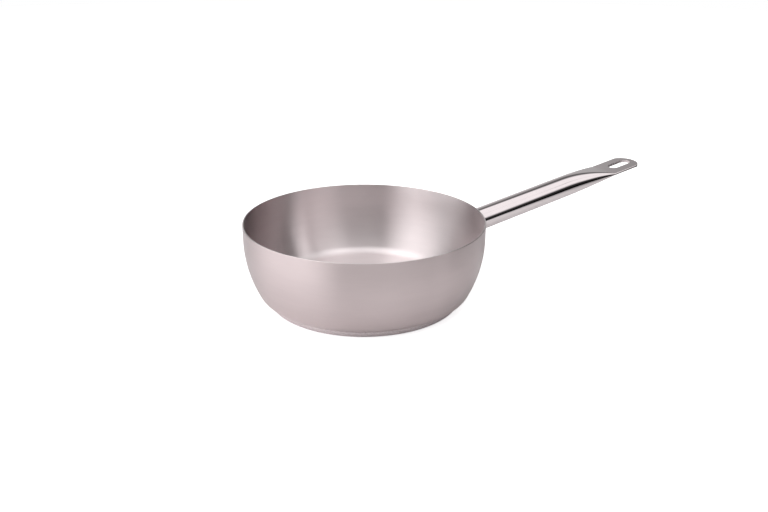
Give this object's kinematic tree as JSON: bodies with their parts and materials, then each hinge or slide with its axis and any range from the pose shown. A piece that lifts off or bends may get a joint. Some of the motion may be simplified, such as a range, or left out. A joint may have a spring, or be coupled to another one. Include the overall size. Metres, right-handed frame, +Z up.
{
  "type": "saucier pan",
  "caption": "Round-sided saucier pan in brushed steel with a sandwich base and a long polished tube handle pressed flat at the tip, with a hanging slot.",
  "frame": {"origin": "centre of the base's resting face, on the pan's own axis", "axes": "+Z up along the pan's axis, +X from the pan's axis towards the handle's tip, +Y completes a right-handed frame"},
  "size_m": [0.432, 0.2, 0.0698],
  "materials": {
    "brushed_body": "satin stainless steel, brushed round the pan",
    "core_metal": "plain rolled disc, closed inside the base",
    "base_steel": "stainless steel cap, turned face",
    "polished_handle": "stainless steel tube, polished to a mirror",
    "weld_bead": "cleaned weld bead"
  },
  "bodies": {
    "root": {"pan_body": "brushed_body", "base_core": "core_metal", "base_cap": "base_steel", "handle_plate": "brushed_body", "handle_tube": "polished_handle", "handle_weld": "weld_bead"}
  },
  "joints": []
}
